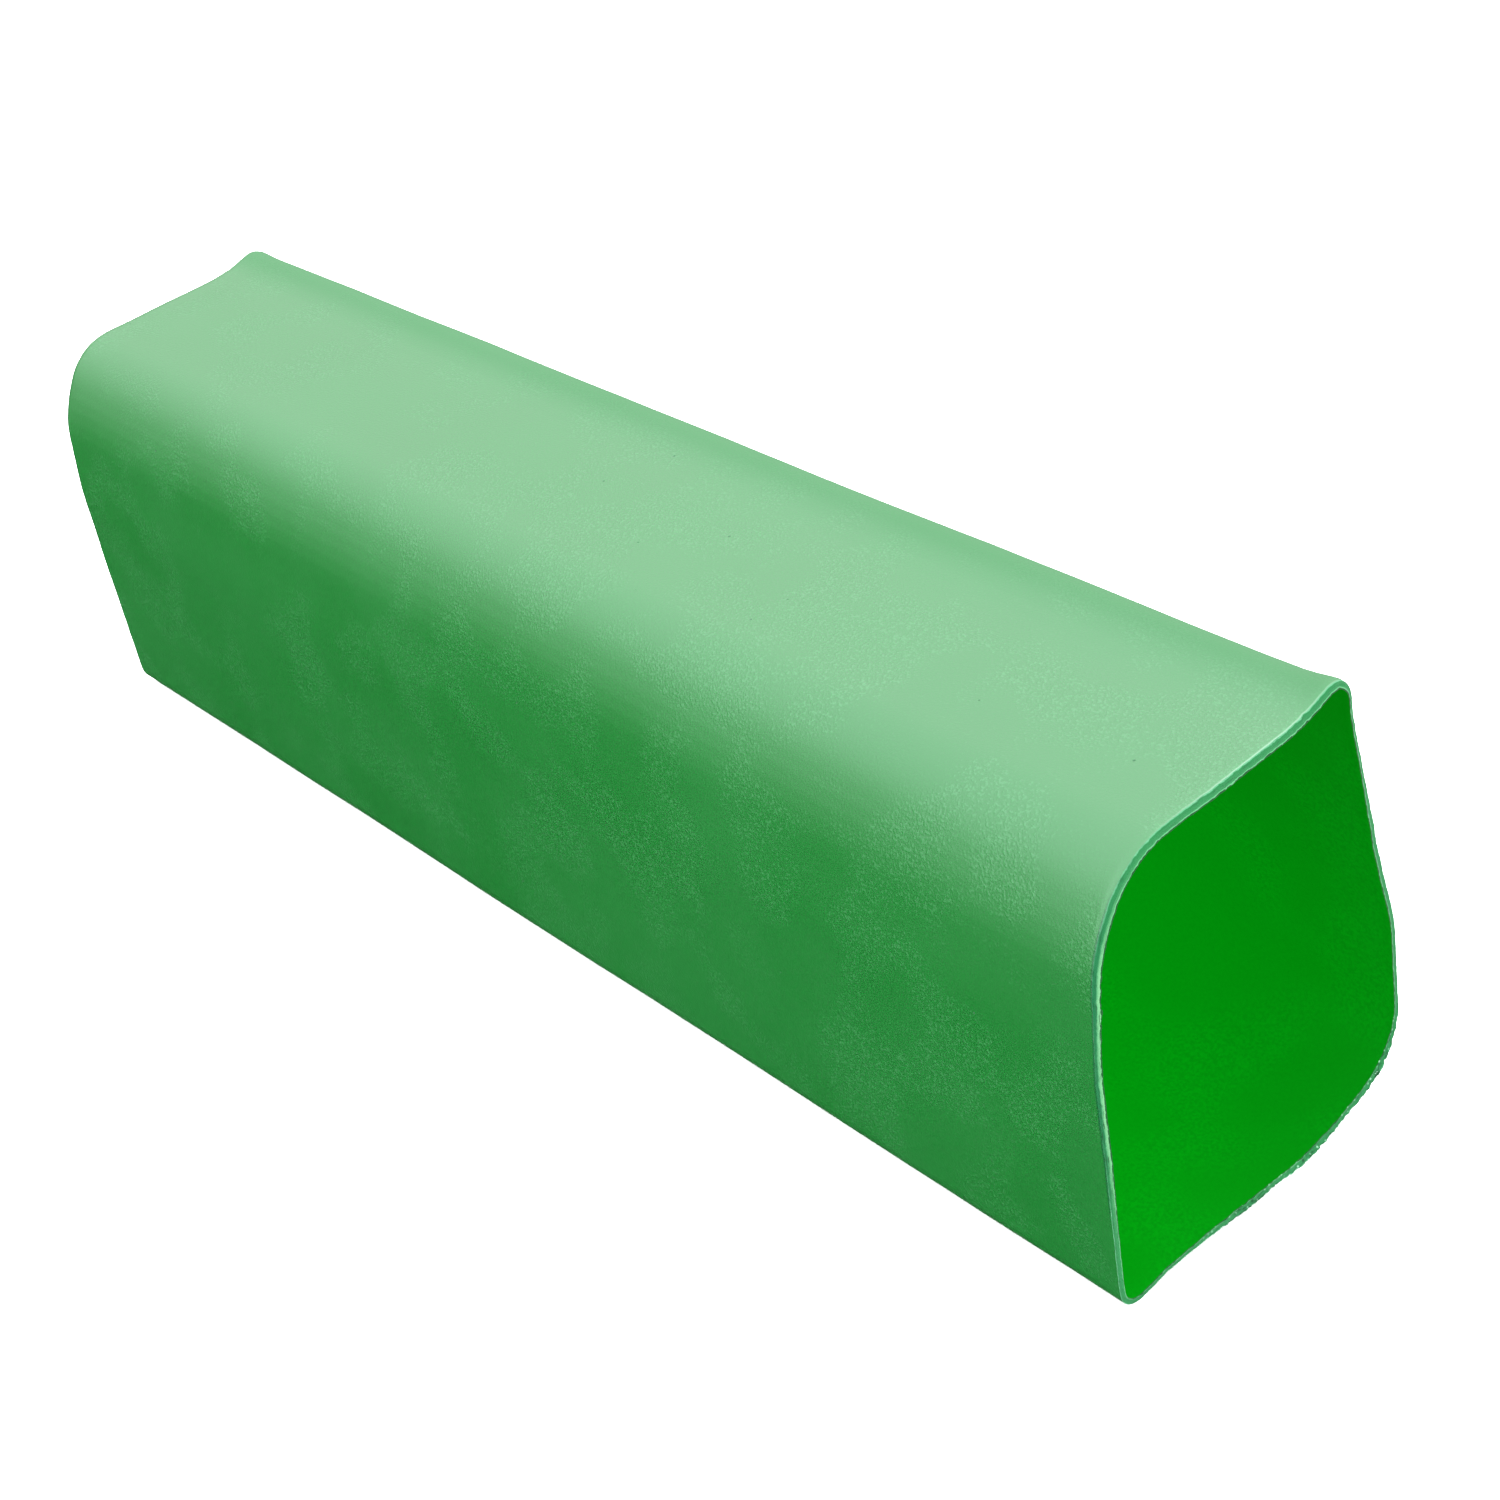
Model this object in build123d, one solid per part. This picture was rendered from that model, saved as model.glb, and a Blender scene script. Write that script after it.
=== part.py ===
from build123d import *
import os
from math import pi, radians
from typing import NamedTuple

import numpy as np

# A cut length of thin-walled shrink tubing, supplied flat and opened again by hand.
# The tube lies along X. Two sharp folds run its whole length, one at the bottom left and one
# at the top right seen from the +X end, and the wall bows softly between them.
# It rests on Z = 0, and the origin is under its middle.

# ---- driving dimensions, in millimetres and degrees ----
LENGTH = 177.8  # the cut piece, end to end
BORE = 50.8  # inside diameter when the tube is blown round
WALL = 0.65  # thickness before shrinking
FOLD_RADIUS = 1.9  # inside of the two folds left by flat packing
SOFT_RADIUS = 8.0  # inside of the two soft corners between the folds
FIRST_HEADING = 11.0  # climb of the wall as it leaves the bottom fold

# The wall is walked once round its inside face, anticlockwise seen from the +X end, from the
# bottom fold back to the bottom fold. Each bend is: straight run that leads to it, turn to the
# left, inside radius. The last turn brings the wall back to its first heading. A run that is a
# share of a flat isn't set: the three flats are as long as they must be for the walk to close
# and for the inside to measure one circumference of the bore.
class Share(NamedTuple):
    """Part of the length of one of the flats, from 0 to 1."""

    flat: str
    part: float


FLATS = ("bottom", "right", "left")
BENDS = {
    "bottom_hollow": (2.5, -13.0, 8.0),
    "floor_bend": (Share("bottom", 1.0), 18.0, 24.0),
    "right_soft_corner": (3.5, 75.0, SOFT_RADIUS),
    "right_belly": (Share("right", 0.26), 12.5, 18.0),
    "right_waist": (Share("right", 0.19), -4.0, 80.0),
    "top_fold": (Share("right", 0.55), 95.8, FOLD_RADIUS),
    "top_hollow": (1.6, -13.5, 22.0),
    "left_soft_corner": (15.0, 57.5, SOFT_RADIUS),
    "left_shoulder": (0.3, 25.5, 17.0),
    "left_bow": (Share("left", 0.17), 5.7, 52.0),
    "bottom_fold": (Share("left", 0.83), 100.5, FOLD_RADIUS),
}
FULL_TURN = 360.0


def heading(angle):
    """Unit vector, Y then Z, that points along a heading in degrees."""
    return np.array([np.cos(radians(angle)), np.sin(radians(angle))])


def chord(angle, turn, radius):
    """Step from one end of a bend to the other, entered at a heading."""
    side = np.sign(turn) * radius
    return side * (heading(angle + 90) - heading(angle + turn + 90))


def solved_runs():
    """Straight runs of the walk, with the flats solved from closure and circumference."""
    per_flat = {flat: np.zeros(3) for flat in FLATS}
    gap = np.array([0.0, 0.0, pi * BORE])
    angle = FIRST_HEADING
    for run, turn, radius in BENDS.values():
        step = np.array([*heading(angle), 1.0])
        if isinstance(run, Share):
            per_flat[run.flat] += run.part * step
        else:
            gap -= run * step
        gap -= [*chord(angle, turn, radius), radius * radians(abs(turn))]
        angle += turn
    lengths = dict(zip(FLATS, np.linalg.solve(np.column_stack(list(per_flat.values())), gap)))
    runs = [run for run, _, _ in BENDS.values()]
    return [run.part * lengths[run.flat] if isinstance(run, Share) else run for run in runs]


def wall_loop(outside):
    """Closed loop at a distance outside the inside face, in the YZ plane."""
    turns = sum(turn for _, turn, _ in BENDS.values())
    assert abs(turns - FULL_TURN) < 1e-6, "the bends don't make one full turn"
    angle = FIRST_HEADING
    here = outside * heading(angle - 90)
    edges = []
    for run, (_, turn, radius) in zip(solved_runs(), BENDS.values()):
        assert run > 0, "a straight run came out negative"
        there = here + run * heading(angle)
        edges.append(Line(tuple(here), tuple(there)))
        bend_radius = radius + np.sign(turn) * outside
        edges.append(JernArc(tuple(there), tuple(heading(angle)), bend_radius, turn))
        here = there + chord(angle, turn, bend_radius)
        angle += turn
    return Wire(edges)


def tube():
    """The tubing: the wall between its two loops, extruded to the cut length."""
    section = Face(wall_loop(WALL), [wall_loop(0)])
    sleeve = extrude(Plane.YZ * section, LENGTH)
    box = sleeve.bounding_box()
    middle = box.center()
    return Pos(-middle.X, -middle.Y, -box.min.Z) * sleeve


os.makedirs("parts", exist_ok=True)
export_step(tube(), "parts/tube.step")
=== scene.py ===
from math import radians

import bpy
from mathutils import Euler, Matrix, Vector


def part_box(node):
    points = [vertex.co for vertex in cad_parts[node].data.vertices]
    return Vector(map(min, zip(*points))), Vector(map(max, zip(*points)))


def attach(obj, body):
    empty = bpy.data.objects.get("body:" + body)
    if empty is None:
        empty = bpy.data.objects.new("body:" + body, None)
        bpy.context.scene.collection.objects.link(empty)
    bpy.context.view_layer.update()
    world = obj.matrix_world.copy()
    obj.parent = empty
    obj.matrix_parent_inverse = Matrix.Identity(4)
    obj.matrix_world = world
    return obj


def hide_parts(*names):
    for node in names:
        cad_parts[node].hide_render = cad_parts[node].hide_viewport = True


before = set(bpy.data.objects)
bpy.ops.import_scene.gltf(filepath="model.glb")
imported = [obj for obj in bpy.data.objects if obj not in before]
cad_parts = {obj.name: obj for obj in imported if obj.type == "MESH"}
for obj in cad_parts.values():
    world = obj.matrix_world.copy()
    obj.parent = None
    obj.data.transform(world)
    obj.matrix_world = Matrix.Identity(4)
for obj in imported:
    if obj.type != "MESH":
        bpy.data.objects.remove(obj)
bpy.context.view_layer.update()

# A hand-cut length of green shrink tubing, opened from flat. X runs along the tube, and the cut
# end that the camera looks into is at +X. All sizes are in metres.

MM = 0.001
TUBE_LOW, TUBE_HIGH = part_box("tube")
REAR, FRONT = TUBE_LOW.x, TUBE_HIGH.x
MIDDLE = (TUBE_LOW + TUBE_HIGH) / 2

# the wall and its mesh: steps round the section, rows along the tube, strips across a cut face
WALL = 0.65 * MM
WELD = 0.001 * MM
STEP_ROUND = 0.32 * MM
OUTLINE_SMOOTHING = {"factor": 0.5, "repeat": 5}
FINEST_ROW = 0.09 * MM
ROW_GROWTH = 1.4
WIDEST_ROW = 5.0 * MM
RIM_CUTS = 7

# edges that turn by less than this many degrees are shaded smooth
SMOOTH_UNDER = 40

# how far along the tube from a cut each effect reaches
EDGE_BAND = 1.2 * MM
END_WAVES_REACH = 14 * MM
ROLL_REACH = 0.8 * MM
FLARE_REACH = 4.5 * MM
KINK_REACH = 3.0 * MM

# noise that moves the mesh: its size, and how far it moves it
CLOUD_DETAIL = 2
SLOW_WAVES = (28 * MM, 0.35 * MM)
END_WAVES = (7 * MM, 0.1 * MM)
UNEVEN_CUT = (11 * MM, 0.26 * MM)
FRAYED_CUT = (1.1 * MM, 0.14 * MM)
SAW_MARKS = (0.5 * MM, 0.07 * MM)
TORN_FACE = (0.45 * MM, 0.6 * MM)
JAGGED_BURR = (0.3 * MM, 0.5 * MM)
JAGGED_FLOOR_EDGE = (0.6 * MM, 0.3 * MM)

# how far plain pushes move the mesh: the skin along its normal, the cut faces along the tube
ROLLED_IN = -0.1 * MM
FLARE = 0.4 * MM
REAR_FLARE = 0.35
KINK = -0.1 * MM
LIP = 0.14 * MM
ROUNDED_EDGE = -0.32 * MM
LEDGE = 0.32 * MM
SHOULDER_SLOPE = -0.12 * MM
INNER_BURR = 0.08 * MM
CREASE = -0.14 * MM

# heights between which an effect grows from none to full
ROLL_HEIGHTS = (38 * MM, 46 * MM)
ROUNDING_HEIGHTS = (30 * MM, 46 * MM)
LIP_HEIGHTS = (0, 24 * MM)

# places in the section, Y and Z
TOP_FOLD = (13.2 * MM, 50.4 * MM)
TOP_WALL = (3.0 * MM, 49.0 * MM)
TOP_NICK = (8.6 * MM, 49.8 * MM)
LEFT_SHOULDER = (-19.6 * MM, 36.0 * MM)
LEFT_MIDDLE = (-20.2 * MM, 25.0 * MM)
WAIST = (17.4 * MM, 31.0 * MM)
BOTTOM_LEFT = (-3.0 * MM, 1.5 * MM)
BOTTOM_MIDDLE = (6.0 * MM, 1.0 * MM)
RIGHT_CORNER = (16.5 * MM, 4.0 * MM)

# where each effect is at its strongest, and how far round the section it reaches from there
FLARED = ((TOP_FOLD, 4.5 * MM),)
KINKED = ((WAIST, 2.5 * MM),)
TORN = ((BOTTOM_LEFT, 8 * MM), (BOTTOM_MIDDLE, 11 * MM), (RIGHT_CORNER, 9 * MM))
BURRED = ((LEFT_SHOULDER, 15 * MM), (LEFT_MIDDLE, 18 * MM))
JAGGED = ((LEFT_SHOULDER, 10 * MM),)
CREASED = ((TOP_FOLD, 0.7 * MM), (TOP_NICK, 0.6 * MM))
# where a painted highlight runs along the cut edge: on the top wall, where the light falls
EDGE_HIGHLIGHT_SPOTS = ((TOP_WALL, 18 * MM),)
FOLDED = ((TOP_FOLD, 6 * MM),)

# shares of the way across the wall, from 0 at the outer edge, where an effect is full and where
# it ends
ROUNDED_SPAN = (-0.1, 0.4)
LEDGE_SPAN = (0, 0.8)
SLOPE_SPAN = (0.1, 0.7)
TORN_SPAN = (0.5, 1)

# the same from the inner edge
JAGGED_BURR_SPAN = (0, 0.2)
JAGGED_FLOOR_SPAN = (0, 0.3)

# effects that peak on the way across the wall: the share where they do, and their width
INNER_BURR_PEAK = (0.86, 0.2)
SAW_MARKS_PEAK = (0.5, 0.5)

# how fast the roughness of a cut face dies out in the wall beside it
TEAR_HOLD = 4

# camera
CAMERA_PLACE = Vector((FRONT + 119.9 * MM, -135.5 * MM, 178.5 * MM))
CAMERA_AZIMUTH = 54.4
CAMERA_ELEVATION = 33.84
CAMERA_ROLL = -10.4
CAMERA_LENS = 62.4
CAMERA_SENSOR = 36.0
NEAREST_SEEN = 0.01
FARTHEST_SEEN = 20

# the dome of light: its brightest direction, and where it is dark and bright along that
DOME_TOP = (0.62, 0.0, 0.85)
DOME_LOW = -0.85
DOME_HIGH = 0.55
DOME_DARK = 0.04
DOME_BRIGHT = 4.2

# a deep green plastic under a pale sheen
SKIN_DEEP = (0.0012, 0.085, 0.0085, 1)
SKIN_PALE = (0.0022, 0.09, 0.0105, 1)
SKIN_BLOOM = (0.012, 0.11, 0.024, 1)
SKIN_FOLD = (0.001, 0.088, 0.01, 1)
# a painted highlight along the top of the cut edge
SKIN_EDGE_HIGHLIGHT = (0.08, 0.18, 0.1, 1)
# painted shade in the groove beside a burred cut; the dark specks in the skin's pits take this
# colour too
SKIN_GROOVE_SHADE_AND_SPECKS = (0.0, 0.06, 0.012, 1)
SKIN_ROUGHNESS = 0.3
ROUGHNESS_DRIFT = 0.015
FOLD_DULLNESS = 0.3
PIT_DULLNESS = 0.4
SKIN_SPECULAR = 0.8
SHEEN_TINT = (0.86, 1.0, 1.0, 1)
SKIN_RELIEF = 0.06 * MM

# the inside and the cut faces, which light from outside shines through: the share of that glow
# at the top, at the right and at a cut, and how deep in the bore it is full
BLACK = (0.0, 0.0, 0.0, 1)
INSIDE_DEEP = (0.0, 0.012, 0.0, 1)
INSIDE_PALE = (0.0, 0.014, 0.0005, 1)
INSIDE_GLOW = (0.0, 0.37, 0.004, 1)
INSIDE_ROUGHNESS = 0.55
INSIDE_SPECULAR = 0.03
GLOW_TOP = 0.74
GLOW_RIGHT = 0.74
GLOW_AT_CUT = 0.86
GLOW_DEPTH = 40 * MM
CUT_GLOW = (0.0, 0.04, 0.005, 1)
CUT_ROUGHNESS = 0.55
CUT_SPECULAR = 0.12
CUT_RELIEF = 2 * SKIN_RELIEF

# sizes of the grain and of the patches that it comes in, and the least that is left of it
SKIN_PEEL = {"Size": 0.28 * MM, "Patch Size": 9 * MM, "Least": 0.3}
INSIDE_PEEL = {"Size": 0.36 * MM, "Patch Size": 14 * MM, "Least": 0.25}
CUT_WOBBLE = {"Size": 0.6 * MM, "Patch Size": 5 * MM, "Least": 0.5}
CUT_FIBRES = {"Size": 0.16 * MM, "Patch Size": 3 * MM, "Least": 0.5}

# sizes of the slow drift in colour
SKIN_DRIFT = {"Size": 22 * MM}
INSIDE_DRIFT = {"Size": 14 * MM}

# how much detail the noise has, and the spans of it that show
FINE_DETAIL = 2.0
PATCH_DETAIL = 1.0
PATCH_SPAN = (0.42, 0.6)
DRIFT_SPAN = (0.3, 0.7)
BLOOM_SPAN = (0.02, 0.14)
FIBRE_SPAN = (0.0, 0.14)
MOTTLE_SPAN = (-0.2, 0.2)

# how much the grain and the drift change the glow of the inside
MOTTLE_CHANGE = (0.9, 1.1)
DRIFT_CHANGE = (0.97, 1.03)

# the painted shade of the groove and the painted highlight line beside a cut: how close to it, and
# from how much of a burr on
GROOVE_SHADE_BAND = (0.88, 0.97)
GROOVE_SHADE_BURR = (0.05, 0.45)
EDGE_HIGHLIGHT_BAND = (0.9, 0.99)

# specks: how far apart, how large, how many of the places have one, and how soft their edge is
SPECK_EDGE = (0.4, 1.0)
SKIN_PITS = {"Spacing": 3.5 * MM, "Radius": 0.16 * MM, "Share": 0.3}
CUT_PITS = {"Spacing": 0.5 * MM, "Radius": 0.2 * MM, "Share": 0.6}
CUT_CHIPS = {"Spacing": 0.45 * MM, "Radius": 0.17 * MM, "Share": 0.6}

# the cut face: how far its bands wander, how stretched its fibres are, and the least of them
BAND_WANDER = 0.3
FIBRE_STRETCH = 0.12
LEAST_FIBRES = 0.35

# colours across a cut face, plain and burred, from the outer edge at 0 to the inner edge at 1.
# Between its edges the cut face has its own darker green. The pale lines at the outer edge and on
# the inner burr are painted highlights, and the dark line at the inner edge is painted shade on the
# far side of the burr. On a burred cut, the dark outer part is painted shade that carries on the
# groove's.
CUT_STOPS = (
    (0.0, (0.06, 0.18, 0.1, 1)),
    (0.06, (0.05, 0.17, 0.09, 1)),
    (0.13, (0.006, 0.078, 0.022, 1)),
    (0.78, (0.01, 0.095, 0.029, 1)),
    (0.83, (0.05, 0.18, 0.08, 1)),
    (0.88, (0.05, 0.18, 0.08, 1)),
    (0.93, (0.0, 0.02, 0.002, 1)),
)
BURR_STOPS = (
    (0.0, (0.0, 0.06, 0.02, 1)),
    (0.1, (0.0, 0.055, 0.018, 1)),
    (0.4, (0.002, 0.06, 0.02, 1)),
    (0.52, (0.035, 0.15, 0.065, 1)),
    (0.72, (0.07, 0.19, 0.09, 1)),
    (0.87, (0.08, 0.21, 0.1, 1)),
    (0.92, (0.0, 0.03, 0.004, 1)),
)
CUT_PIT = (0.0, 0.02, 0.005, 1)
CUT_CHIP = (0.14, 0.3, 0.19, 1)

# the floor, just under the tube
FLOOR_SIZE = 6
FLOOR_GAP = 0.1 * MM
FLOOR_COLOUR = (0.95, 0.95, 0.95, 1)
FLOOR_ROUGHNESS = 0.9
FLOOR_SPECULAR = 0.1


# ---------------------------------------------------------------- modelling helpers


def deselect_everything():
    """Leaves edit mode and clears the selection."""
    if bpy.context.mode != "OBJECT":
        bpy.ops.object.mode_set(mode="OBJECT")
    bpy.ops.object.select_all(action="DESELECT")


def take_up(piece):
    """Makes a piece the only selected and active object."""
    deselect_everything()
    piece.select_set(True)
    bpy.context.view_layer.objects.active = piece


def pick(piece, kind, wanted):
    """Goes into edit mode with only the vertices, edges or faces selected that are wanted."""
    if bpy.context.mode != "OBJECT":
        bpy.ops.object.mode_set(mode="OBJECT")
    mesh = piece.data
    for elements in (mesh.vertices, mesh.edges, mesh.polygons):
        elements.foreach_set("select", [False] * len(elements))
    for element in getattr(mesh, kind):
        element.select = wanted(element)
    modes = {"vertices": "VERT", "edges": "EDGE", "polygons": "FACE"}
    bpy.context.tool_settings.mesh_select_mode = [m == kind for m in modes]
    bpy.ops.object.mode_set(mode="EDIT")
    bpy.ops.mesh.select_mode(type=modes[kind])


def apply_modifier(piece, name, kind, **settings):
    """Adds a modifier, gives it its settings and applies it."""
    take_up(piece)
    modifier = piece.modifiers.new(name, kind)
    for key, value in settings.items():
        setattr(modifier, key, value)
    bpy.ops.object.modifier_apply(modifier=modifier.name)


def weigh(piece, name, weight):
    """Makes a vertex group with a weight worked out for each vertex."""
    group = piece.vertex_groups.new(name=name)
    for vertex in piece.data.vertices:
        value = weight(vertex)
        if value > 0:
            group.add([vertex.index], min(value, 1.0), "REPLACE")
    return group.name


def weights(piece, name):
    """The weights of all vertices in a group."""
    wanted = piece.vertex_groups[name].index
    return [sum(g.weight for g in v.groups if g.group == wanted) for v in piece.data.vertices]


def ripple(piece, name, waves, group="", direction="NORMAL"):
    """Moves a mesh both ways by cloud noise. The waves are its size and how far it moves."""
    size, depth = waves
    texture = bpy.data.textures.new(name, "CLOUDS")
    texture.noise_scale = size
    texture.noise_depth = CLOUD_DETAIL
    apply_modifier(piece, name, "DISPLACE", texture=texture, texture_coords="LOCAL",
                   direction=direction, strength=depth, mid_level=0.5, vertex_group=group)


def push(piece, name, depth, group, direction="NORMAL"):
    """Moves the vertices of a group one way, by a share of the depth."""
    apply_modifier(piece, name, "DISPLACE", direction=direction, strength=depth, mid_level=0,
                   vertex_group=group)


def fade(distance, full, gone):
    """1 up to the full distance, 0 from the gone distance on, smooth between."""
    share = min(1.0, max(0.0, (gone - distance) / (gone - full)))
    return share * share * (3 - 2 * share)


def hill(value, middle, width):
    """1 at the middle, fading to 0 at the width on both sides of it."""
    return fade(abs(value - middle), 0, width)


# ---------------------------------------------------------------- places on the tube


def from_cut(place):
    """Distance along the tube from the nearer cut end."""
    return min(place.x - REAR, FRONT - place.x)


def by_cut(place, reach):
    """1 at a cut, fading to 0 at the reach from it along the tube."""
    return fade(from_cut(place), 0, reach)


def near(place, spots):
    """1 at any of the spots of the section, fading to 0 at the reach of each from it."""
    def at(spot, reach):
        away = Vector((place.y - spot[0], place.z - spot[1])).length
        return fade(away, 0, reach)

    return max(at(spot, reach) for spot, reach in spots)


def high_up(place, heights):
    """0 up to the first height, 1 from the second one on."""
    return fade(-place.z, -heights[1], -heights[0])



# ---------------------------------------------------------------- the tube's skin


def row_places():
    """Places along the tube of the rows of the mesh, close together at the two cut ends."""
    gaps = []
    gap = FINEST_ROW
    half = (FRONT - REAR) / 2
    while sum(gaps) + gap < half - WIDEST_ROW / 2:
        gaps.append(gap)
        gap = min(gap * ROW_GROWTH, WIDEST_ROW)
    from_end = [sum(gaps[:n]) for n in range(len(gaps) + 1)]
    rear_half = [REAR + d for d in from_end]
    front_half = [FRONT - d for d in reversed(from_end)]
    return rear_half + front_half


def outline_of_tube():
    """The tube's outside outline at the rear end, as one closed loop of short edges."""
    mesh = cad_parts["tube"].data.copy()
    tube = bpy.data.objects.new("tubing", mesh)
    bpy.context.scene.collection.objects.link(tube)
    take_up(tube)
    mesh.materials.clear()

    def is_outer_skin(face):
        is_a_side = abs(face.normal.x) < 0.5
        return is_a_side and face.normal.dot(face.center - MIDDLE) > 0

    pick(tube, "vertices", lambda v: True)
    bpy.ops.mesh.remove_doubles(threshold=WELD)
    pick(tube, "polygons", lambda f: not is_outer_skin(f))
    bpy.ops.mesh.delete(type="FACE")
    pick(tube, "vertices", lambda v: v.co.x > MIDDLE.x)
    bpy.ops.mesh.delete(type="VERT")

    def length(edge):
        a, b = (mesh.vertices[i].co for i in edge.vertices)
        return (a - b).length

    while True:
        bpy.ops.object.mode_set(mode="OBJECT")
        if max(length(e) for e in mesh.edges) <= STEP_ROUND:
            break
        pick(tube, "edges", lambda e: length(e) > STEP_ROUND)
        bpy.ops.mesh.subdivide(number_cuts=1)
    pick(tube, "vertices", lambda v: True)
    bpy.ops.mesh.vertices_smooth(**OUTLINE_SMOOTHING)
    return tube


def draw_out(tube):
    """Extrudes the outline along the tube, row by row, into its outer skin."""
    rows = row_places()
    pick(tube, "edges", lambda e: True)
    for here, there in zip(rows, rows[1:]):
        bpy.ops.mesh.extrude_region_move(TRANSFORM_OT_translate={"value": (there - here, 0, 0)})
    pick(tube, "polygons", lambda f: True)
    bpy.ops.mesh.normals_make_consistent(inside=False)
    bpy.ops.object.mode_set(mode="OBJECT")
    outward = sum(f.normal.dot(f.center - MIDDLE) * f.area for f in tube.data.polygons)
    if outward < 0:
        pick(tube, "polygons", lambda f: True)
        bpy.ops.mesh.flip_normals()
    bpy.ops.object.mode_set(mode="OBJECT")


def loosen(tube):
    """Takes the drawn stiffness out of the skin: long slow waves, and more of them near a cut."""
    weigh(tube, "edge", lambda v: by_cut(v.co, EDGE_BAND))
    ripple(tube, "slow waves", SLOW_WAVES)
    end = weigh(tube, "near the cut", lambda v: by_cut(v.co, END_WAVES_REACH))
    ripple(tube, "end waves", END_WAVES, end)
    ripple(tube, "uneven cut", UNEVEN_CUT, end, "X")


def mark_by_cutting(tube):
    """What the blade and the squeezed folds did to the skin beside each cut."""
    def press(name, depth, weight):
        push(tube, name, depth, weigh(tube, name, lambda v: weight(v.co)))

    def flared(place):
        full = 1 if place.x > 0 else REAR_FLARE
        return by_cut(place, FLARE_REACH) * near(place, FLARED) * full

    press("rolled in", ROLLED_IN,
          lambda place: by_cut(place, ROLL_REACH) * high_up(place, ROLL_HEIGHTS))
    press("flared fold", FLARE, flared)
    press("kinked waist", KINK,
          lambda place: by_cut(place, KINK_REACH) * near(place, KINKED))
    ripple(tube, "frayed cut", FRAYED_CUT, "edge", "X")


def thicken(tube):
    """Gives the skin its wall, inwards, and a group that is 1 on its inner side."""
    inside = tube.vertex_groups.new(name="inside")
    apply_modifier(tube, "wall", "SOLIDIFY", thickness=WALL, offset=-1.0, use_even_offset=True,
                   use_rim=True, use_quality_normals=True, shell_vertex_group=inside.name,
                   material_offset=1, material_offset_rim=2)


# ---------------------------------------------------------------- the two cut faces


def divide_cut_faces(tube):
    """Splits each cut face into narrow strips between its outer and its inner edge."""
    inside = weights(tube, "inside")

    def crosses_wall(edge):
        a, b = edge.vertices
        return inside[a] != inside[b]

    pick(tube, "edges", crosses_wall)
    bpy.ops.mesh.subdivide(number_cuts=RIM_CUTS)
    bpy.ops.object.mode_set(mode="OBJECT")


def turn_lip_inwards(tube):
    """Lets the inner edge of each cut stand a little into the bore, most of it high up."""
    inside = weights(tube, "inside")
    edge = weights(tube, "edge")

    def lip(vertex):
        if inside[vertex.index] < 1:
            return 0
        return edge[vertex.index] * high_up(vertex.co, LIP_HEIGHTS)

    push(tube, "lip", LIP, weigh(tube, "lip", lip))


def work_cut_faces(tube):
    """Rounds, creases, burrs and tears the cut faces.

    Each weight is worked out from a place and from the share of the way across the wall, t, which
    is 0 at the outer edge and 1 at the inner one.
    """
    across = weights(tube, "inside")
    edge = weights(tube, "edge")

    def group(name, hold, weight):
        """A group that fades away from the cut, faster with a higher hold."""
        def at(vertex):
            close = edge[vertex.index] ** hold
            return close * weight(vertex.co, across[vertex.index]) if close > 0 else 0

        return weigh(tube, name, at)

    def shift(name, depth, weight):
        """Moves both cut faces along the tube, outwards or with a negative depth inwards."""
        for side, end in (("front", 1), ("rear", -1)):
            def on_side(place, t):
                return weight(place, t) * (place.x * end > 0)

            here = group(f"{name} {side}", 1, on_side)
            push(tube, f"{name} {side}", depth * end, here, "X")

    def tear(name, waves, direction, weight):
        """Roughens the cut faces, and hardly the walls beside them."""
        ripple(tube, name, waves, group(name, TEAR_HOLD, weight), direction)

    shift("rounded outer edge", ROUNDED_EDGE,
          lambda place, t: fade(t, *ROUNDED_SPAN) * high_up(place, ROUNDING_HEIGHTS))
    shift("ragged ledge", LEDGE, lambda place, t: fade(t, *LEDGE_SPAN) * near(place, TORN))
    shift("sloped shoulder", SHOULDER_SLOPE,
          lambda place, t: fade(t, *SLOPE_SPAN) * near(place, BURRED))
    shift("inner burr", INNER_BURR, lambda place, t: hill(t, *INNER_BURR_PEAK))
    shift("crease", CREASE, lambda place, t: near(place, CREASED))
    tear("saw marks", SAW_MARKS, "X", lambda place, t: hill(t, *SAW_MARKS_PEAK))
    tear("torn face", TORN_FACE, "X", lambda place, t: fade(t, *TORN_SPAN) * near(place, TORN))
    tear("jagged burr", JAGGED_BURR, "Y",
         lambda place, t: fade(1 - t, *JAGGED_BURR_SPAN) * near(place, JAGGED))
    tear("jagged floor edge", JAGGED_FLOOR_EDGE, "Z",
         lambda place, t: fade(1 - t, *JAGGED_FLOOR_SPAN) * near(place, TORN))


def show_to_materials(tube):
    """Stores for each vertex what the materials read, before the cut faces are worked.

    That is its share of the way across the wall, how close it is to a cut, how burred, torn or
    folded the plastic is there, and where a highlight is painted along the cut edge.
    """
    places = [v.co.copy() for v in tube.data.vertices]
    values = {
        "across": weights(tube, "inside"),
        "beside cut": weights(tube, "edge"),
        "burred": [near(place, BURRED) for place in places],
        "torn": [near(place, TORN) for place in places],
        "painted_highlight": [near(place, EDGE_HIGHLIGHT_SPOTS) for place in places],
        "folded": [near(place, FOLDED) for place in places],
    }
    for name, per_vertex in values.items():
        attribute = tube.data.attributes.new(name, "FLOAT", "POINT")
        attribute.data.foreach_set("value", per_vertex)


# ---------------------------------------------------------------- materials


def feed(tree, socket, value):
    """Gives an input a plain value, or links another node's output to it."""
    if isinstance(value, bpy.types.NodeSocket):
        tree.links.new(value, socket)
    else:
        socket.default_value = value


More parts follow.
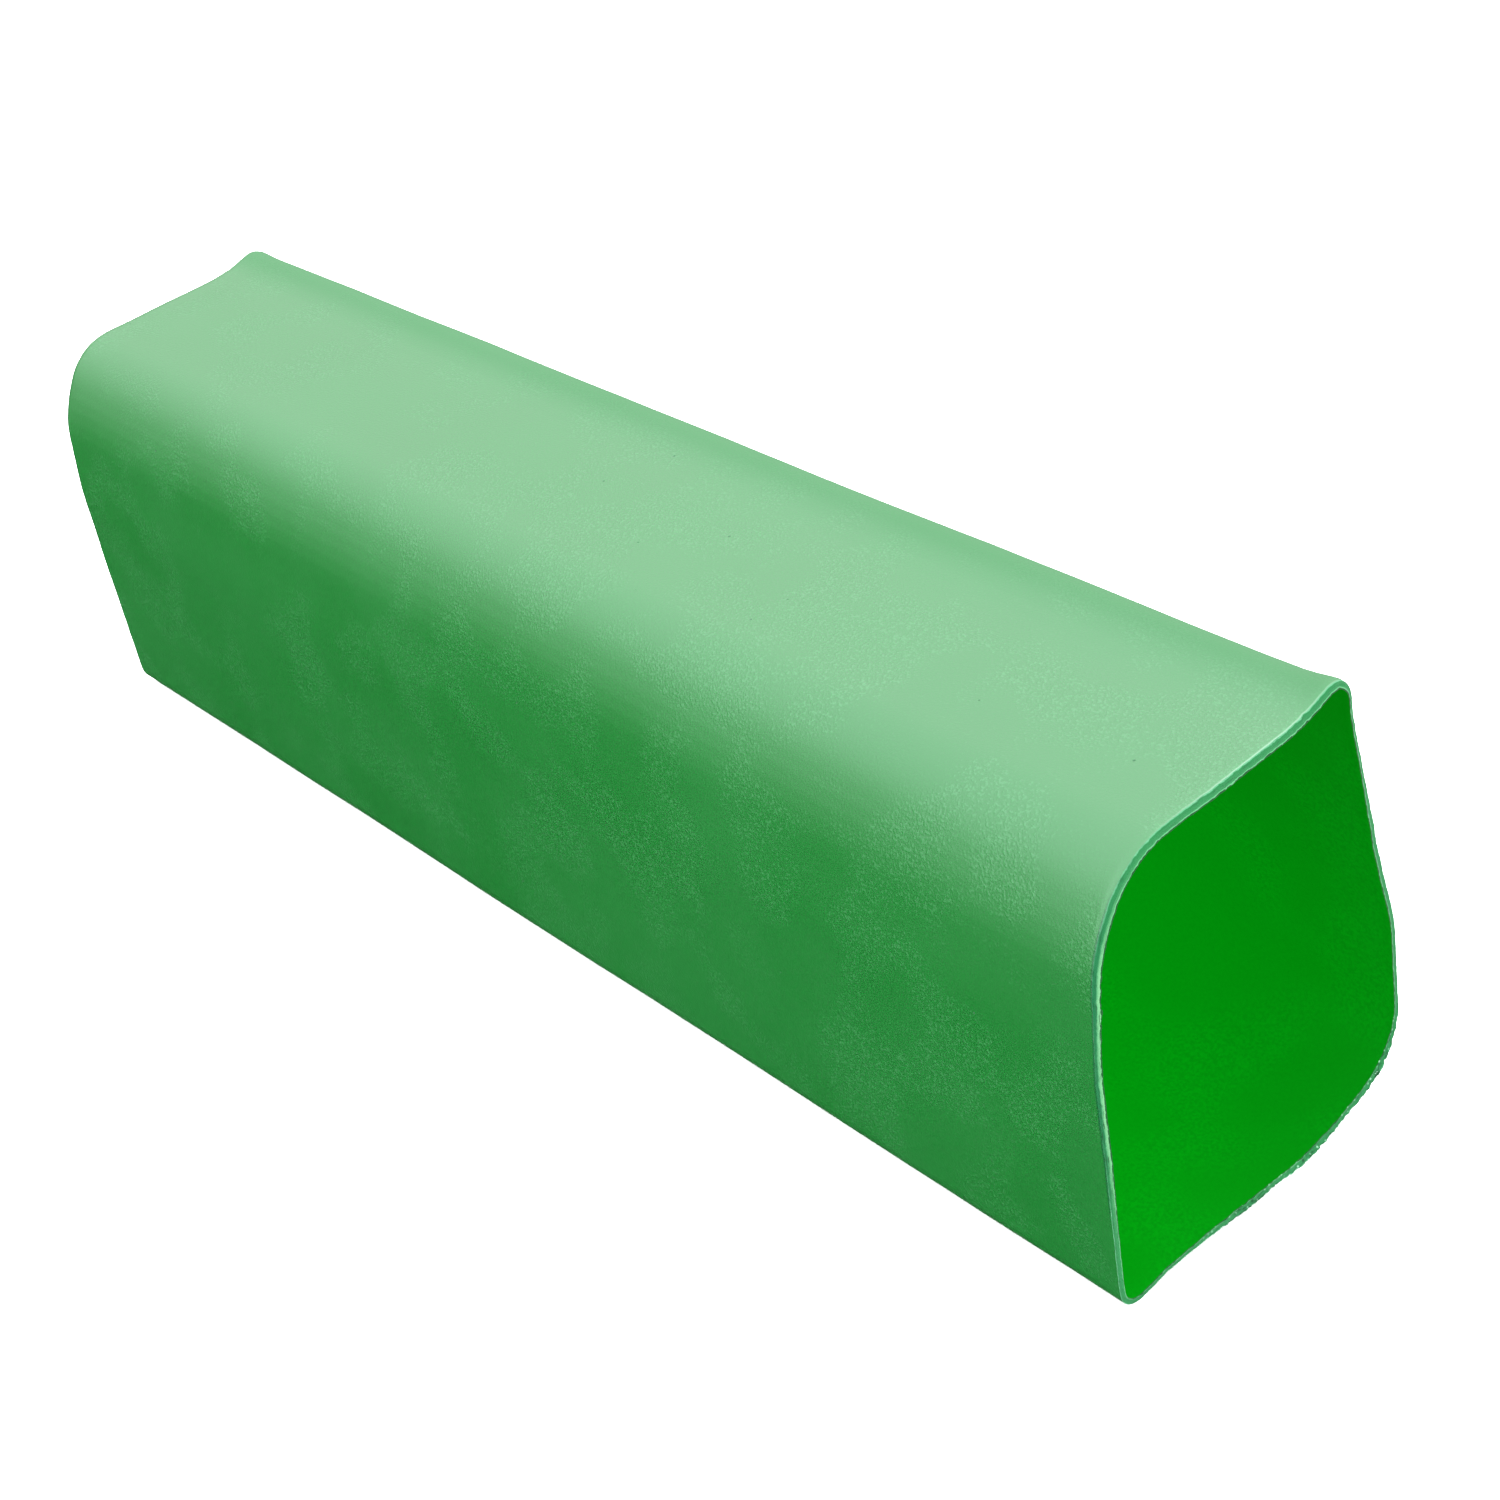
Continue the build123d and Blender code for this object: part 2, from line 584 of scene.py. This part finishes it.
def add_node(tree, kind, inputs=None, **settings):
    """A new shader node with its inputs fed and its settings made."""
    node = tree.nodes.new("ShaderNode" + kind)
    for key, value in settings.items():
        setattr(node, key, value)
    for key, value in (inputs or {}).items():
        feed(tree, node.inputs[key], value)
    return node


def maths(tree, operation, first, second):
    """The result of one operation on two numbers."""
    return add_node(tree, "Math", {0: first, 1: second}, operation=operation).outputs[0]


def times(tree, first, second):
    """The product of two numbers."""
    return maths(tree, "MULTIPLY", first, second)


def ramp(tree, value, low, high, at_low=0.0, at_high=1.0):
    """Turns the span from low to high into another span, smooth and clamped."""
    inputs = {"Value": value, "From Min": low, "From Max": high,
              "To Min": at_low, "To Max": at_high}
    return add_node(tree, "MapRange", inputs, interpolation_type="SMOOTHSTEP").outputs[0]


def blend(tree, share, first, second):
    """Blends from the first colour to the second one."""
    return add_node(tree, "Mix", {0: share, 6: first, 7: second}, data_type="RGBA").outputs[2]


def noise(tree, place, size, detail):
    """Soft noise around 0.5 whose lumps have about the size given."""
    scale = maths(tree, "DIVIDE", 1.0, size)
    inputs = {"Vector": place, "Scale": scale, "Detail": detail}
    return add_node(tree, "TexNoise", inputs).outputs[0]


def own_place(tree):
    """The place on the object itself."""
    return add_node(tree, "TexCoord").outputs["Object"]


def own_value(tree, name):
    """A value stored for each vertex."""
    return add_node(tree, "Attribute", attribute_name=name).outputs["Fac"]


def use(tree, group, place, sizes=None):
    """Puts a node group to work at a place and returns its only output."""
    node = tree.nodes.new("ShaderNodeGroup")
    node.node_tree = group
    feed(tree, node.inputs["Place"], place)
    for title, size in (sizes or {}).items():
        feed(tree, node.inputs[title], size)
    return node.outputs[0]


def new_group(name, sizes, output):
    """A node group that takes a place and some sizes and gives one value."""
    group = bpy.data.node_groups.new(name, "ShaderNodeTree")
    group.interface.new_socket(name="Place", in_out="INPUT", socket_type="NodeSocketVector")
    for title in sizes:
        group.interface.new_socket(name=title, in_out="INPUT", socket_type="NodeSocketFloat")
    group.interface.new_socket(name=output, in_out="OUTPUT", socket_type="NodeSocketFloat")
    given = group.nodes.new("NodeGroupInput").outputs
    result = group.nodes.new("NodeGroupOutput").inputs[output]
    return group, given, result


def make_grain():
    """Fine orange-peel grain around 0 that comes and goes in patches."""
    sizes = ("Size", "Patch Size", "Least")
    group, given, result = new_group("orange-peel grain", sizes, "Height")
    fine = noise(group, given["Place"], given["Size"], FINE_DETAIL)
    height = maths(group, "SUBTRACT", fine, 0.5)
    wide = noise(group, given["Place"], given["Patch Size"], PATCH_DETAIL)
    patches = ramp(group, wide, *PATCH_SPAN, given["Least"], 1.0)
    feed(group, result, times(group, height, patches))
    return group


def make_drift():
    """Slow change from 0 to 1 from one part of the plastic to the next."""
    group, given, result = new_group("slow drift", ("Size",), "Value")
    wide = noise(group, given["Place"], given["Size"], FINE_DETAIL)
    feed(group, result, ramp(group, wide, *DRIFT_SPAN))
    return group


def make_specks():
    """Sparse round specks and pits. Share is how many of the places have one."""
    group, given, result = new_group("specks", ("Spacing", "Radius", "Share"), "Mask")
    scale = maths(group, "DIVIDE", 1.0, given["Spacing"])
    cells = add_node(group, "TexVoronoi", {"Vector": given["Place"], "Scale": scale})
    away = times(group, cells.outputs["Distance"], given["Spacing"])
    beyond = maths(group, "DIVIDE", away, given["Radius"])
    chance = add_node(group, "SeparateColor", {0: cells.outputs["Color"]}).outputs[0]
    chosen = maths(group, "LESS_THAN", chance, given["Share"])
    within = ramp(group, beyond, *SPECK_EDGE, 1.0, 0.0)
    feed(group, result, times(group, within, chosen))
    return group


def make_light_through():
    """How much light comes through the wall: most of it low down on the left, far from a cut."""
    group, given, result = new_group("light through the wall", (), "Value")
    parts = add_node(group, "SeparateXYZ", {0: given["Place"]}).outputs
    low = ramp(group, parts["Z"], TUBE_LOW.z, TUBE_HIGH.z, 1.0, GLOW_TOP)
    left = ramp(group, parts["Y"], TUBE_LOW.y, TUBE_HIGH.y, 1.0, GLOW_RIGHT)
    off_middle = maths(group, "ABSOLUTE", parts["X"], 0.0)
    deep = ramp(group, off_middle, FRONT - GLOW_DEPTH, FRONT, 1.0, GLOW_AT_CUT)
    feed(group, result, times(group, times(group, low, left), deep))
    return group


def material(name, roughness, specular):
    """A plastic with its constants set, and no colour or pattern yet."""
    made = bpy.data.materials.new(name)
    made.use_nodes = True
    tree = made.node_tree
    shader = tree.nodes["Principled BSDF"].inputs
    shader["Roughness"].default_value = roughness
    shader["Specular IOR Level"].default_value = specular
    shader["Specular Tint"].default_value = SHEEN_TINT
    return made, tree, shader


def emboss(tree, shader, height, distance):
    """Feeds a height of 1 as this many metres of relief."""
    bump = add_node(tree, "Bump", {"Strength": 1.0, "Distance": distance, "Height": height})
    feed(tree, shader["Normal"], bump.outputs["Normal"])


def let_glow(tree, shader, share, glow):
    """Makes a material shine by a share of its glow, at most 1."""
    feed(tree, shader["Emission Color"], blend(tree, share, BLACK, glow))
    shader["Emission Strength"].default_value = 1.0


def skin_material(grain, drift, specks):
    """The pale, grained skin, with painted shade in the groove where the blade bent it, and a
    painted highlight along the top of the cut edge.
    """
    made, tree, shader = material("tubing skin", SKIN_ROUGHNESS, SKIN_SPECULAR)
    place = own_place(tree)
    peel = use(tree, grain, place, SKIN_PEEL)
    tone = use(tree, drift, place, SKIN_DRIFT)
    pits = use(tree, specks, place, SKIN_PITS)
    beside = own_value(tree, "beside cut")
    folded = own_value(tree, "folded")
    burred = ramp(tree, own_value(tree, "burred"), *GROOVE_SHADE_BURR)
    # painted shade: the groove beside a burred cut is darkened
    groove_shade = times(tree, ramp(tree, beside, *GROOVE_SHADE_BAND), burred)
    # painted highlight: a pale line along the cut edge on the top wall
    painted_highlight = times(tree, ramp(tree, beside, *EDGE_HIGHLIGHT_BAND), own_value(tree, "painted_highlight"))
    colour = blend(tree, tone, SKIN_DEEP, SKIN_PALE)
    colour = blend(tree, ramp(tree, peel, *BLOOM_SPAN), colour, SKIN_BLOOM)
    colour = blend(tree, folded, colour, SKIN_FOLD)
    colour = blend(tree, groove_shade, colour, SKIN_GROOVE_SHADE_AND_SPECKS)
    colour = blend(tree, painted_highlight, colour, SKIN_EDGE_HIGHLIGHT)
    # dark specks in the pits, in the same colour as the painted groove shade
    colour = blend(tree, pits, colour, SKIN_GROOVE_SHADE_AND_SPECKS)
    feed(tree, shader["Base Color"], colour)
    least_rough = SKIN_ROUGHNESS - ROUGHNESS_DRIFT
    most_rough = SKIN_ROUGHNESS + ROUGHNESS_DRIFT
    roughness = ramp(tree, tone, 0.0, 1.0, least_rough, most_rough)
    pit_dullness = times(tree, pits, PIT_DULLNESS)
    fold_dullness = times(tree, folded, FOLD_DULLNESS)
    dullness = maths(tree, "MAXIMUM", pit_dullness, fold_dullness)
    feed(tree, shader["Roughness"], maths(tree, "ADD", roughness, dullness))
    emboss(tree, shader, maths(tree, "SUBTRACT", peel, pits), SKIN_RELIEF)
    return made


def inside_material(grain, drift, light_through):
    """The dull inside, nearly all of whose colour is light that comes through the wall."""
    made, tree, shader = material("tubing inside", INSIDE_ROUGHNESS, INSIDE_SPECULAR)
    place = own_place(tree)
    peel = use(tree, grain, place, INSIDE_PEEL)
    tone = use(tree, drift, place, INSIDE_DRIFT)
    light = use(tree, light_through, place)
    mottle = ramp(tree, peel, *MOTTLE_SPAN, *MOTTLE_CHANGE)
    slow = ramp(tree, tone, 0.0, 1.0, *DRIFT_CHANGE)
    feed(tree, shader["Base Color"], blend(tree, tone, INSIDE_DEEP, INSIDE_PALE))
    let_glow(tree, shader, times(tree, light, times(tree, mottle, slow)), INSIDE_GLOW)
    emboss(tree, shader, peel, SKIN_RELIEF)
    return made


def across_colours(tree, across, stops):
    """A colour for each place across the cut face, from its outer to its inner edge."""
    node = add_node(tree, "ValToRGB", {0: across})
    band = node.color_ramp
    while len(band.elements) < len(stops):
        band.elements.new(0.5)
    for element, (where, colour) in zip(band.elements, stops):
        element.position = where
        element.color = colour
    return node.outputs["Color"]


def along_the_cut(tree, place, across):
    """A place that changes fast across the wall and slowly along the cut, for fibres."""
    parts = add_node(tree, "SeparateXYZ", {0: place}).outputs
    inputs = {
        "X": times(tree, across, MM),
        "Y": times(tree, parts["Y"], FIBRE_STRETCH),
        "Z": times(tree, parts["Z"], FIBRE_STRETCH),
    }
    return add_node(tree, "CombineXYZ", inputs).outputs[0]


def cut_material(grain, specks, light_through):
    """The cut faces: bands of colour across the wall, with painted highlights at the edges and
    painted shade by the inner burr, dark fibres, and pits and chips in a tear.
    """
    made, tree, shader = material("cut face", CUT_ROUGHNESS, CUT_SPECULAR)
    place = own_place(tree)
    across = own_value(tree, "across")
    torn = own_value(tree, "torn")
    burred = own_value(tree, "burred")
    wobble = use(tree, grain, place, CUT_WOBBLE)
    band = maths(tree, "ADD", across, times(tree, wobble, BAND_WANDER))
    # the pale lines at the edges are painted highlights; the dark line at the inner edge, and the
    # dark outer part of a burred cut, are painted shade
    plain_colour = across_colours(tree, band, CUT_STOPS)
    burred_colour = across_colours(tree, band, BURR_STOPS)
    colour = blend(tree, burred, plain_colour, burred_colour)
    fibres = use(tree, grain, along_the_cut(tree, place, across), CUT_FIBRES)
    ragged = maths(tree, "MAXIMUM", torn, burred)
    fibrous = maths(tree, "MAXIMUM", ragged, LEAST_FIBRES)
    dark_fibres = times(tree, ramp(tree, fibres, *FIBRE_SPAN), fibrous)
    colour = blend(tree, dark_fibres, colour, CUT_PIT)
    pits = use(tree, specks, place, CUT_PITS)
    colour = blend(tree, times(tree, pits, torn), colour, CUT_PIT)
    chips = use(tree, specks, place, CUT_CHIPS)
    colour = blend(tree, times(tree, chips, torn), colour, CUT_CHIP)
    feed(tree, shader["Base Color"], colour)
    let_glow(tree, shader, use(tree, light_through, place), CUT_GLOW)
    emboss(tree, shader, wobble, CUT_RELIEF)
    return made


# ---------------------------------------------------------------- the tubing


def add_materials(tube):
    """Gives the tube its skin, its inside and its cut face, in the order that the wall expects."""
    grain = make_grain()
    drift = make_drift()
    specks = make_specks()
    light_through = make_light_through()
    tube.data.materials.append(skin_material(grain, drift, specks))
    tube.data.materials.append(inside_material(grain, drift, light_through))
    tube.data.materials.append(cut_material(grain, specks, light_through))


def make_tubing():
    """The whole tube, in one piece."""
    tube = outline_of_tube()
    draw_out(tube)
    loosen(tube)
    mark_by_cutting(tube)
    add_materials(tube)
    thicken(tube)
    divide_cut_faces(tube)
    turn_lip_inwards(tube)
    show_to_materials(tube)
    work_cut_faces(tube)
    take_up(tube)
    bpy.ops.object.shade_smooth_by_angle(angle=radians(SMOOTH_UNDER))
    return tube


# ---------------------------------------------------------------- floor, light and camera


def make_floor():
    """A plain pale floor, which the sheen of the plastic doesn't mirror."""
    bpy.ops.mesh.primitive_plane_add(size=FLOOR_SIZE, location=(0, 0, TUBE_LOW.z - FLOOR_GAP))
    floor = bpy.context.object
    floor.name = "floor"
    made = bpy.data.materials.new("pale floor")
    made.use_nodes = True
    shader = made.node_tree.nodes["Principled BSDF"].inputs
    shader["Base Color"].default_value = FLOOR_COLOUR
    shader["Roughness"].default_value = FLOOR_ROUGHNESS
    shader["Specular IOR Level"].default_value = FLOOR_SPECULAR
    floor.data.materials.append(made)
    floor.visible_glossy = False


def make_lights():
    """A soft dome of white light, brightest overhead and towards +X, and dim below the horizon."""
    world = bpy.data.worlds.new("studio")
    bpy.context.scene.world = world
    world.use_nodes = True
    tree = world.node_tree
    place = tree.nodes.new("ShaderNodeTexCoord")
    toward = tree.nodes.new("ShaderNodeVectorMath")
    toward.operation = "DOT_PRODUCT"
    toward.inputs[1].default_value = DOME_TOP
    climb = tree.nodes.new("ShaderNodeMapRange")
    climb.interpolation_type = "SMOOTHSTEP"
    climb.inputs["From Min"].default_value = DOME_LOW
    climb.inputs["From Max"].default_value = DOME_HIGH
    climb.inputs["To Min"].default_value = DOME_DARK
    climb.inputs["To Max"].default_value = DOME_BRIGHT
    tree.links.new(place.outputs["Object"], toward.inputs[0])
    tree.links.new(toward.outputs["Value"], climb.inputs["Value"])
    tree.links.new(climb.outputs[0], tree.nodes["Background"].inputs["Strength"])
    tree.nodes["Background"].inputs["Color"].default_value = (1, 1, 1, 1)


def make_camera():
    """The camera, in front of the cut at +X, above it and to its left."""
    data = bpy.data.cameras.new("camera")
    data.lens = CAMERA_LENS
    data.sensor_width = CAMERA_SENSOR
    data.clip_start = NEAREST_SEEN
    data.clip_end = FARTHEST_SEEN
    camera = bpy.data.objects.new("camera", data)
    bpy.context.scene.collection.objects.link(camera)
    facing = Euler((radians(90 - CAMERA_ELEVATION), 0, radians(CAMERA_AZIMUTH))).to_matrix()
    turn = facing @ Matrix.Rotation(radians(CAMERA_ROLL), 3, "Z")
    camera.matrix_world = Matrix.Translation(CAMERA_PLACE) @ turn.to_4x4()
    bpy.context.scene.camera = camera


bpy.context.scene.view_settings.view_transform = "Standard"
tubing = make_tubing()
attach(tubing, "root")
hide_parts("tube")
make_floor()
make_lights()
make_camera()
